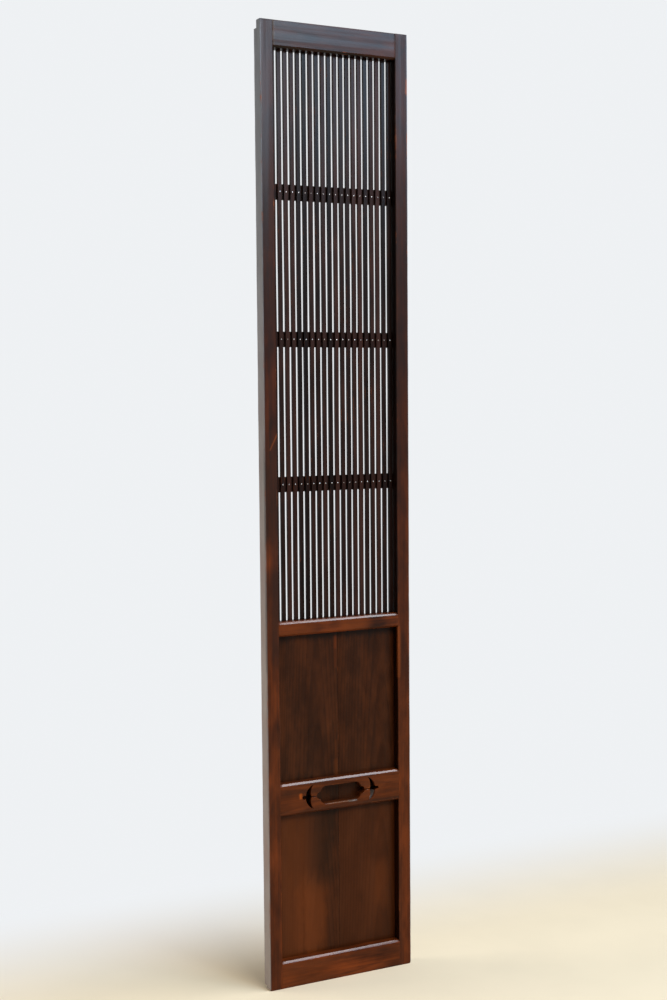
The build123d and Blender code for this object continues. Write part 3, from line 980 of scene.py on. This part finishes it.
class Recipe:
    """Shader nodes of one material or world, added and wired by short calls."""

    def __init__(self, owner):
        owner.use_nodes = True
        self.owner, self.tree = owner, owner.node_tree
        self.tree.nodes.clear()

    def add(self, kind, inputs=None, output=0, **values):
        """One node, given back as one of its outputs. An input takes a number, a colour or a wire."""
        node = self.tree.nodes.new(kind)
        for key, value in values.items():
            setattr(node, key, value)
        for key, value in (inputs or {}).items():
            if isinstance(value, Wire):
                self.tree.links.new(value.socket, node.inputs[key])
            else:
                node.inputs[key].default_value = value
        return Wire(self, node.outputs[output]) if node.outputs else None

    def split(self, vector):
        """The x, y and z of a vector."""
        node = self.add("ShaderNodeSeparateXYZ", {0: vector}).socket.node
        return [Wire(self, socket) for socket in node.outputs]

    def noise(self, place, pattern):
        """Smooth chance values about one half, after a pattern."""
        stretch, detail, roughness = pattern
        inputs = {"Vector": place * stretch, "Scale": 1.0, "Detail": detail, "Roughness": roughness}
        return self.add("ShaderNodeTexNoise", inputs)

    def spread(self, value, low, high, to_low=0.0, to_high=1.0):
        """A value's range turned smoothly into another range, and held at its ends."""
        inputs = {0: value, 1: low, 2: high, 3: to_low, 4: to_high}
        return self.add("ShaderNodeMapRange", inputs, interpolation_type="SMOOTHSTEP")

    def blend(self, factor, first, second, kind="MIX"):
        """Two colours blended by a factor."""
        inputs = {0: factor, 6: first, 7: second}
        return self.add("ShaderNodeMix", inputs, 2, data_type="RGBA", blend_type=kind)

    def ramp(self, factor, stops):
        """Colours along a ramp."""
        colour = self.add("ShaderNodeValToRGB", {0: factor})
        elements = colour.socket.node.color_ramp.elements
        for place, paint in stops[1:-1]:
            elements.new(place).color = paint
        elements[0].position, elements[0].color = stops[0]
        elements[-1].position, elements[-1].color = stops[-1]
        return colour

    def from_line(self, place, start, end):
        """Distance on the face from a short line between two points of x and z.

        A point's share of the way along the line is its dot product with the line over the line's square,
        held between nought and one, and the distance is to the place at that share.
        """
        run = np.subtract(end, start)
        square = max(float(run @ run), LEAST_SQUARE)
        offset = place * (1, 0, 1) - (start[0], 0, start[1])
        inputs = {0: offset, 1: (run[0] / square, 0, run[1] / square)}
        share = self.add("ShaderNodeVectorMath", inputs, "Value", operation="DOT_PRODUCT")
        share = share.math("MINIMUM", 1.0).math("MAXIMUM", 0.0)
        return (offset - share * (run[0], 0, run[1])).length()

    def finish(self, shader, kind="ShaderNodeOutputMaterial"):
        """Ends the material or world with its shader."""
        self.add(kind, {"Surface": shader})
        return self.owner


def shade(colour, factor=1.0):
    """A colour made darker or lighter, with an alpha of one."""
    return tuple(min(1.0, channel * factor) for channel in colour) + (1.0,)


def stained_wood(name, stain, along, pith, marks=(), contrast=0.7, lots=0.0, upper=1.0, sheen=1.0, fine=1.0,
                 face=FRONT, stile=False, rings=0.22):
    """Dark stained wood.

    Growth rings are distances from a leaning pith, so a flat face shows them as long arches. Streaks and fine
    fibres are noise drawn out along the grain, and clouds of stain lie over them. Rubbed arrises show the
    bare wood. Painted shade darkens the stain towards the top of the leaf, on the inner faces of the stiles
    and at the back of the carved cuts, where some lower walls are dusty grey instead. The outer side of a
    stile is painted pale grey, bluer near the top, as a painted sheen. Marks lie on the face, and some of
    them are painted shadows. Wax follows the streaks, thinner low down, and slopes that face up and forward
    are polished.
    """
    finish = settings().finish
    recipe = Recipe(bpy.data.materials.new(name))
    place = recipe.add("ShaderNodeTexCoord", output="Object")
    rubbed, lot, deep, slope = (
        recipe.add("ShaderNodeAttribute", output="Fac", attribute_name=label) for label in ATTRIBUTES)
    x, y, z = recipe.split(place)
    grain = place if along == Z else recipe.add("ShaderNodeCombineXYZ", {0: z, 1: y, 2: x})
    board = grain + lot * LOT_SHIFT

    across, depth, rise = recipe.split(grain - pith)
    across = across + (recipe.noise(board, WOBBLE) - 0.5) * RING_WOBBLE
    radius = (across * across + depth * depth).math("SQRT") + rise * PITH_LEAN
    turn = radius.math("DIVIDE", finish.ring_width).math("FRACT")
    late = recipe.ramp(turn, [(stop, (value, value, value, 1)) for stop, value in LATE_WOOD])
    streak, fibre, cloud = (recipe.noise(board, pattern) for pattern in (STREAK, FIBRE, CLOUD))
    tone = streak * (STREAK_SHARE * fine) + cloud * (1 - STREAK_SHARE * fine)
    tone = (tone - 0.5) * (TONE_SPREAD * contrast) + 0.5
    tone = tone + (fibre - 0.5) * (FIBRE_SPREAD * fine) - (late - LATE_MEAN) * (rings * contrast)
    if lots:
        tone = tone + (lot - 0.5) * lots
    colour = recipe.ramp(tone, [(stop, shade(stain, factor)) for stop, factor in STAIN_STOPS])

    # Painted shade: darker towards the top of the leaf.
    if upper < 1:
        colour = recipe.blend(1.0, colour, recipe.spread(z, *PAINTED_SHADE_RISE, 1.0, upper), "MULTIPLY")
    if stile:
        outward = x.math("ABSOLUTE")
        # Painted shade on the inner faces of the stiles.
        inner_face_shade = recipe.spread(outward, *PAINTED_RECESS_SHADE_EDGE, finish.painted_recess_shade, 1.0)
        colour = recipe.blend(1.0, colour, inner_face_shade, "MULTIPLY")
        # Painted sheen: the outer sides of the stiles turn pale grey, bluer near the top.
        dust_and_painted_sheen = recipe.spread(outward, *PAINTED_SHEEN_EDGE) * recipe.spread(cloud, *PAINTED_SHEEN_CLOUDS)
        grey = recipe.blend(recipe.spread(z, *PAINTED_SHEEN_RISE), shade(finish.dust_and_painted_sheen), shade(finish.painted_high_sheen))
        colour = recipe.blend(dust_and_painted_sheen, colour, grey)
    # Painted shade darkens the back of the carved cuts where the attribute is one, and a dusty grey lies
    # where it is minus one.
    colour = recipe.blend(recipe.spread(deep, *PAINTED_CUT_SHADE), colour, shade(stain, CUT_SHADE))
    colour = recipe.blend(recipe.spread(deep, *CUT_DUST), colour, shade(finish.dust_and_painted_sheen))
    wear = rubbed + (recipe.noise(place, RAGGED) - 0.5) * RAGGED_WEAR
    wear = recipe.spread(wear + (recipe.noise(place, PATCH) - 0.5) * PATCHY_WEAR, *WEAR_EDGE)
    colour = recipe.blend(wear * BARE, colour, shade(finish.worn_wood))
    front = recipe.spread(y, face + FACE_DEPTH[0], face + FACE_DEPTH[1], 1.0, 0.0)
    for start_x, start_z, end_x, end_z, width, paint, strength in marks:
        distance = recipe.from_line(place, (start_x, start_z), (end_x, end_z))
        distance = distance + (streak - 0.5) * (MARK_STREAKS * width)
        distance = distance + (cloud - 0.5) * (MARK_CLOUDS * width)
        mask = recipe.spread(distance, MARK_CORE * width, MARK_REACH * width, strength, 0.0) * front
        paint = finish.worn_wood if paint == "worn" else PAINTS[paint]
        colour = recipe.blend(mask, colour, shade(paint))

    wax = sheen * finish.wax
    wax = recipe.spread(streak, *WAX_STREAKS, WAX_MOST * wax, WAX_LEAST * wax) * recipe.spread(z, *WAX_RISE)
    relief = fibre * GRAIN_RELIEF["fibre"] + streak * GRAIN_RELIEF["streak"] - late * GRAIN_RELIEF["late"]
    bump = {"Strength": GRAIN_BUMP * fine, "Distance": GRAIN_HEIGHT, "Height": relief}
    return recipe.finish(recipe.add("ShaderNodeBsdfPrincipled", {
        "Base Color": colour,
        "Roughness": recipe.spread(streak, *ROUGH_STREAKS) + wear * WORN_ROUGH,
        "Specular IOR Level": sheen * finish.gloss,
        "Normal": recipe.add("ShaderNodeBump", bump),
        "Coat Weight": recipe.spread(slope, *POLISH_EDGE, wax, sheen * finish.polish),
        "Coat Roughness": COAT_ROUGH}))


RUST_COLOUR = (0.090, 0.035, 0.015)
RUST_EDGE = (0.46, 0.66)
RUST_ROUGH, RUST_METAL = (0.32, 0.75), (1.0, 0.1)
NAIL_BUMP, NAIL_BUMP_HEIGHT = 0.4, 0.0002


def nail_metal(name):
    """Hammered steel with brown rust in patches, which is rougher and not metallic."""
    finish = settings().finish
    recipe = Recipe(bpy.data.materials.new(name))
    place = recipe.add("ShaderNodeTexCoord", output="Object")
    rust = recipe.spread(recipe.noise(place, RUST), *RUST_EDGE)
    dents = recipe.noise(place, HAMMERED)
    bump = {"Strength": NAIL_BUMP, "Distance": NAIL_BUMP_HEIGHT, "Height": dents}
    return recipe.finish(recipe.add("ShaderNodeBsdfPrincipled", {
        "Base Color": recipe.blend(rust, shade(finish.nail_steel), shade(RUST_COLOUR)),
        "Roughness": recipe.spread(rust, 0, 1, *RUST_ROUGH),
        "Metallic": recipe.spread(rust, 0, 1, *RUST_METAL),
        "Normal": recipe.add("ShaderNodeBump", bump)}))


# Operators

# Seeds of the chance values of each group of pieces, counted up from piece to piece
STILE_SEED, RAIL_SEED, CARVED_SEED, BOARD_SEED = 11, 31, 47, 53
LOT_SEED, BAR_SEED, TIE_SEED, NAIL_SEED = 71, 101, 131, 151

# Where the pith of each piece's tree lies: across the grain, in depth and along the grain
PITHS = {
    "left_stile": (-0.150, 0.055, -0.4),
    "right_stile": (0.150, 0.055, -0.4),
    "carved_rail": (0.402, 0.050, -0.5),
    "left_panel_board": (-0.045, 0.045, 0.150),
    "right_panel_board": (0.110, 0.060, 0.180),
    "bars": (0.0, 0.300, 0.0),
    "ties": (1.4, 0.080, 0.0),
}
RAIL_PITH = (0.040, -0.5)

# The lot of wood that each piece is from, which moves its grain
LOTS = {
    "left_stile": 0.13, "right_stile": 0.53,
    "top_rail": 0.21, "mid_rail": 0.48, "carved_rail": 0.77, "bottom_rail": 0.75,
    "left_panel_board": 0.35, "right_panel_board": 0.65,
    "upper_tie": 0.2, "middle_tie": 0.5, "lower_tie": 0.8,
}
RAIL_CONTRAST = {"top_rail": 1.1, "mid_rail": 1.1, "bottom_rail": 0.8}
BOARD_LOOK = {"contrast": 0.5, "fine": 0.3, "sheen": 0.75, "rings": 0.3}
BAR_LOOK = {"lots": 0.9, "sheen": 0.55}


class LATTICEDOOR_OT_stiles(bpy.types.Operator):
    """Make the two stiles with their worn arrises, ledges and rounded foot corners"""

    bl_idname = "lattice_door.stiles"
    bl_label = "Stiles"

    def execute(self, context):
        finish = settings().finish
        for number, node in enumerate(STILES):
            wood = stained_wood(node + "_wood", finish.stile_stain, Z, PITHS[node], MARKS[node],
                                upper=finish.painted_upper_shade, stile=True)
            dress(node, stile_surface, STILE_SEED + number, LOTS[node], wood)
        return {"FINISHED"}


class LATTICEDOOR_OT_rails(bpy.types.Operator):
    """Make the top, middle and bottom rails with chamfers scribed to the stiles"""

    bl_idname = "lattice_door.rails"
    bl_label = "Rails"

    def execute(self, context):
        finish = settings().finish
        for number, node in enumerate(PLAIN_RAILS):
            stain = finish.stile_stain if node == "top_rail" else finish.rail_stain
            pith = (sum(reach(node, Z)) / 2,) + RAIL_PITH
            wood = stained_wood(node + "_wood", stain, X, pith, MARKS[node],
                                contrast=RAIL_CONTRAST[node], upper=finish.painted_upper_shade)
            dress(node, rail_surface, RAIL_SEED + number, LOTS[node], wood)
        return {"FINISHED"}


class LATTICEDOOR_OT_carved_rail(bpy.types.Operator):
    """Make the carved rail with its openwork window and birds, rubbed and splintered at the rim"""

    bl_idname = "lattice_door.carved_rail"
    bl_label = "Carved rail"

    def execute(self, context):
        shape, finish = settings().shape, settings().finish
        node = "carved_rail"
        points, faces, rubbed, deep = carved_rail_surface(node, shape, np.random.default_rng(CARVED_SEED))
        wood = stained_wood("carved_rail_wood", finish.carved_stain, X, PITHS[node], MARKS[node])
        add_piece("worn_carved_rail", points, faces, rubbed, LOTS[node], [node], wood, deep)
        return {"FINISHED"}


class LATTICEDOOR_OT_panel(bpy.types.Operator):
    """Make the two half-lapped panel boards behind the carved rail"""

    bl_idname = "lattice_door.panel"
    bl_label = "Panel boards"

    def execute(self, context):
        stain = settings().finish.board_stain
        for number, node in enumerate(BOARDS):
            wood = stained_wood(node + "_wood", stain, Z, PITHS[node], MARKS[node],
                                face=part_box(node)[0][Y], **BOARD_LOOK)
            dress(node, board_surface, BOARD_SEED + number, LOTS[node], wood)
        return {"FINISHED"}


class LATTICEDOOR_OT_lattice(bpy.types.Operator):
    """Make the upright lattice bars and the ties behind them"""

    bl_idname = "lattice_door.lattice"
    bl_label = "Lattice bars and ties"

    def execute(self, context):
        stain = settings().finish.bar_stain
        lots = np.random.default_rng(LOT_SEED).uniform(0, 1, len(BARS))
        bar_wood = stained_wood("bar_wood", stain, Z, PITHS["bars"], **BAR_LOOK)
        for number, node in enumerate(BARS):
            dress(node, bar_surface, BAR_SEED + number, lots[number], bar_wood)
        tie_wood = stained_wood("tie_wood", stain, X, PITHS["ties"])
        for number, node in enumerate(TIES):
            dress(node, tie_surface, TIE_SEED + number, LOTS[node], tie_wood)
        return {"FINISHED"}


class LATTICEDOOR_OT_nails(bpy.types.Operator):
    """Make the struck nail heads that hold the bars to the ties"""

    bl_idname = "lattice_door.nails"
    bl_label = "Nails"

    def execute(self, context):
        metal = nail_metal("nail_metal")
        for number, tie in enumerate(TIES):
            node = tie + "_nails"
            points, faces = nail_surface(node, np.random.default_rng(NAIL_SEED + number))
            add_piece("struck_" + node, points, faces, 0.0, 0.0, [node], metal)
        return {"FINISHED"}


# Stage

FLOOR_RADIUS = 14.0
FLOOR_RINGS = 24
FLOOR_SIDES = 64
FLOOR_MIDDLE = (0.15, -1.0, 0.0)
FLOOR_FADE = (1.7, 3.4)
FLOOR_BACK_FADE = (0.05, 0.70)
FLOOR_MOTTLE, FLOOR_DARK, FLOOR_LIGHT = (0.3, 0.7), 0.985, 1.015
FLOOR_ROUGH, FLOOR_GLOSS = 0.75, 0.15

# For each lamp: its place, its aim, its width and height, and its colour
LAMPS = {
    "window": ((1.30, -2.55, 2.90), (0.0, 0.0, 1.60), (1.6, 1.4), (0.50, 0.72, 1.00)),
    "key": ((0.30, -2.90, 2.70), (0.0, 0.0, 0.60), (1.6, 1.2), (1.00, 0.95, 0.88)),
    "strip": ((1.48, -0.90, 3.40), (0.0, 0.0, 0.50), (1.4, 1.00), (0.92, 0.94, 1.00)),
    "side": ((-2.10, 1.10, 0.60), (-0.17, 0.0, 0.70), (1.2, 2.2), (1.00, 0.95, 0.90)),
}


def add_aimed(name, data, place, aim, roll=0.0):
    """Adds a lamp or camera at a place that looks at an aim, with z up and turned about its line of sight."""
    turn = (Vector(aim) - Vector(place)).to_track_quat("-Z", "Y").to_matrix().to_4x4()
    holder = bpy.data.objects.new(name, data)
    holder.matrix_world = Matrix.Translation(place) @ turn @ Matrix.Rotation(roll, 4, "Z")
    bpy.context.scene.collection.objects.link(holder)
    return holder


def floor_surface():
    """A flat disc: for a share s up to one and an angle a, a point lies at s^2 of the radius along a."""
    distance = np.linspace(0, 1, FLOOR_RINGS)[1:, None] ** 2 * FLOOR_RADIUS
    angle = np.linspace(0, 2 * np.pi, FLOOR_SIDES, endpoint=False)
    x, y = distance * np.cos(angle), distance * np.sin(angle)
    rings = np.stack([x, y, np.zeros_like(x)], axis=2)
    number = numbered(rings, 1)
    quads = ring_quads(number)[..., TURNED_OVER].reshape(-1, 4)
    points = np.concatenate([np.zeros((1, 3)), rings.reshape(-1, 3)])
    return points, quads.tolist() + fan(0, number[0]).tolist()


def seen_directly(recipe):
    """One where a ray comes from the camera, or by way of gloss or glass, and nought elsewhere."""
    camera, gloss, glass = (recipe.add("ShaderNodeLightPath", output=f"Is {kind} Ray")
                            for kind in ("Camera", "Glossy", "Transmission"))
    return camera.math("MAXIMUM", gloss).math("MAXIMUM", glass)


def floor_paint(stage, background):
    """Plain pale paint with a faint mottle. Behind the leaf and far from it, it fades to the background."""
    recipe = Recipe(bpy.data.materials.new("floor_paint"))
    place = recipe.add("ShaderNodeTexCoord", output="Object")
    behind = recipe.split(place)[Y]
    mottle = recipe.spread(recipe.noise(place, MOTTLE), *FLOOR_MOTTLE)
    paint = recipe.add("ShaderNodeBsdfPrincipled", {
        "Base Color": recipe.blend(mottle, shade(stage.floor_colour, FLOOR_DARK),
                                   shade(stage.floor_colour, FLOOR_LIGHT)),
        "Roughness": FLOOR_ROUGH, "Specular IOR Level": FLOOR_GLOSS})
    glow = recipe.add("ShaderNodeEmission", {"Color": background, "Strength": 1.0})
    distance = (place - FLOOR_MIDDLE).length()
    far = recipe.spread(behind, *FLOOR_BACK_FADE).math("MAXIMUM", recipe.spread(distance, *FLOOR_FADE))
    far = far * seen_directly(recipe)
    return recipe.finish(recipe.add("ShaderNodeMixShader", {0: far, 1: paint, 2: glow}))


def studio_world(stage, background):
    """A plain background that lights evenly by less than it shows."""
    sky = Recipe(bpy.data.worlds.new("studio"))
    seen = sky.add("ShaderNodeBackground", {"Color": background, "Strength": 1.0})
    even = sky.add("ShaderNodeBackground", {"Color": background, "Strength": stage.fill})
    mixed = sky.add("ShaderNodeMixShader", {0: seen_directly(sky), 1: even, 2: seen})
    return sky.finish(mixed, "ShaderNodeOutputWorld")


class LATTICEDOOR_OT_stage(bpy.types.Operator):
    """Make the plain floor, the soft lamps, the background and the camera"""

    bl_idname = "lattice_door.stage"
    bl_label = "Stage"

    def execute(self, context):
        stage = settings().stage
        scene = context.scene
        scene.view_settings.view_transform = "Standard"
        background = shade(stage.background)
        floor = add_mesh("floor", *floor_surface(), floor_paint(stage, background))
        scene.world = studio_world(stage, background)

        for name, (place, aim, size, colour) in LAMPS.items():
            lamp = bpy.data.lights.new(name, "AREA")
            lamp.shape = "RECTANGLE"
            lamp.size, lamp.size_y = size
            lamp.energy = getattr(stage, name + "_power")
            lamp.color = colour
            add_aimed(name, lamp, place, aim).visible_camera = False

        camera = bpy.data.cameras.new("camera")
        camera.lens = stage.lens
        scene.camera = add_aimed("camera", camera, stage.camera_place, stage.camera_aim, stage.camera_roll)
        return {"FINISHED"}


# Panel and registration

PIECES = (
    LATTICEDOOR_OT_stiles, LATTICEDOOR_OT_rails, LATTICEDOOR_OT_carved_rail, LATTICEDOOR_OT_panel,
    LATTICEDOOR_OT_lattice, LATTICEDOOR_OT_nails, LATTICEDOOR_OT_stage,
)


class LATTICEDOOR_PT_sidebar(bpy.types.Panel):
    """Pieces and settings of the lattice door leaf"""

    bl_idname = "LATTICEDOOR_PT_sidebar"
    bl_label = "Lattice Door"
    bl_space_type = "VIEW_3D"
    bl_region_type = "UI"
    bl_category = "Lattice Door"

    def draw(self, context):
        column = self.layout.column(align=True)
        for piece in PIECES:
            column.operator(piece.bl_idname)
        kept = context.scene.lattice_door
        for group in (kept.shape, kept.finish, kept.stage):
            box = self.layout.box()
            for name in group.__annotations__:
                box.prop(group, name)


CLASSES = (
    LatticeDoorShape, LatticeDoorFinish, LatticeDoorStage, LatticeDoorSettings,
) + PIECES + (LATTICEDOOR_PT_sidebar,)


def register():
    """Adds the classes, and the settings to the scene."""
    for kind in CLASSES:
        bpy.utils.register_class(kind)
    bpy.types.Scene.lattice_door = bpy.props.PointerProperty(
        name="Lattice door", description="Settings of the lattice door leaf", type=LatticeDoorSettings)


def unregister():
    """Removes the settings and the classes."""
    del bpy.types.Scene.lattice_door
    for kind in reversed(CLASSES):
        bpy.utils.unregister_class(kind)


def main():
    """Makes every piece and the stage."""
    register()
    bpy.ops.lattice_door.stiles()
    bpy.ops.lattice_door.rails()
    bpy.ops.lattice_door.carved_rail()
    bpy.ops.lattice_door.panel()
    bpy.ops.lattice_door.lattice()
    bpy.ops.lattice_door.nails()
    bpy.ops.lattice_door.stage()


if __name__ == "__main__":
    main()
